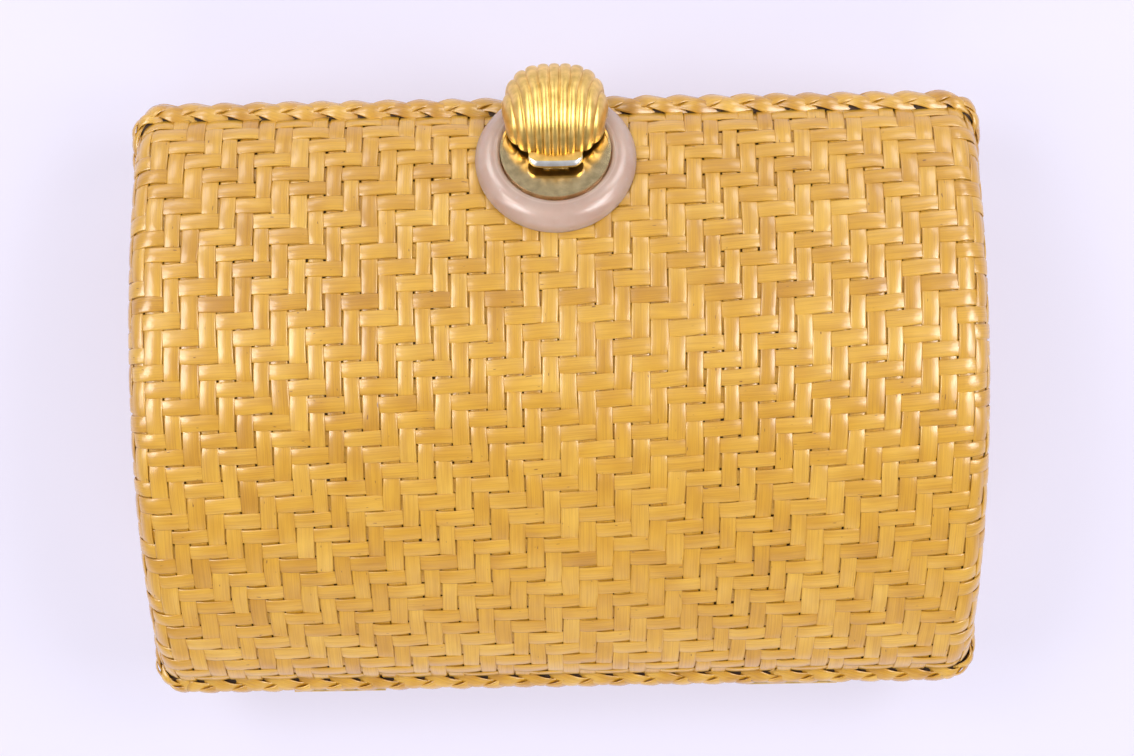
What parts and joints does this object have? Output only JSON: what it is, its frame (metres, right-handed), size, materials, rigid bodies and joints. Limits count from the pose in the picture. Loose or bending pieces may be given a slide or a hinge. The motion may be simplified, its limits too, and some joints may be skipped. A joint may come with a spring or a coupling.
{
  "type": "woven box clutch bag",
  "caption": "Hard woven straw box bag with plaited rims, hinged along one edge, held shut by a fluted metal rocker clasp on a pale stone ring.",
  "frame": {"origin": "middle of the flat back, on the surface that the bag lies on", "axes": "+X along the width, +Y from the hinged edge to the clasp edge, +Z out of the front"},
  "size_m": [0.2154, 0.1644, 0.0635],
  "materials": {
    "straw": "varnished woven straw",
    "lining": "satin cloth",
    "stone": "polished pale quartz",
    "gold": "polished gold plate",
    "steel": "plain spring steel"
  },
  "bodies": {
    "back": {"back_shell": "straw", "back_rim": "straw", "back_lining": "lining", "left_gusset": "lining", "right_gusset": "lining", "left_hinge_back_leaf": "gold", "right_hinge_back_leaf": "gold", "left_hinge_pin": "gold", "right_hinge_pin": "gold", "back_hinge_nails": "gold", "catch_leaf": "gold", "catch_nails": "gold"},
    "front": {"front_shell": "straw", "front_rim": "straw", "front_lining": "lining", "left_hinge_front_leaf": "gold", "right_hinge_front_leaf": "gold", "front_hinge_nails": "gold", "stone_ring": "stone", "clasp_plate": "gold", "backing_washer": "steel", "clasp_nut": "steel", "pivot_pin": "gold", "return_spring": "steel", "spring_rivet": "steel"},
    "clasp": {"clasp_rocker": "gold"}
  },
  "joints": [
    {"name": "front_open", "type": "hinge", "parent": "back", "child": "front", "pos_m": [0, -0.077, 0.02787], "axis": [1, 0, 0], "range_deg": [0, 60], "deforming": ["left_gusset", "right_gusset", "catch_leaf"]},
    {"name": "clasp_press", "type": "hinge", "parent": "front", "child": "clasp", "pos_m": [0, 0.07316, 0.0458], "axis": [1, 0, 0], "range_deg": [0, 6], "stiffness_Nm_per_rad": 0.4, "springref_deg": -2.86, "deforming": ["return_spring"]}
  ]
}
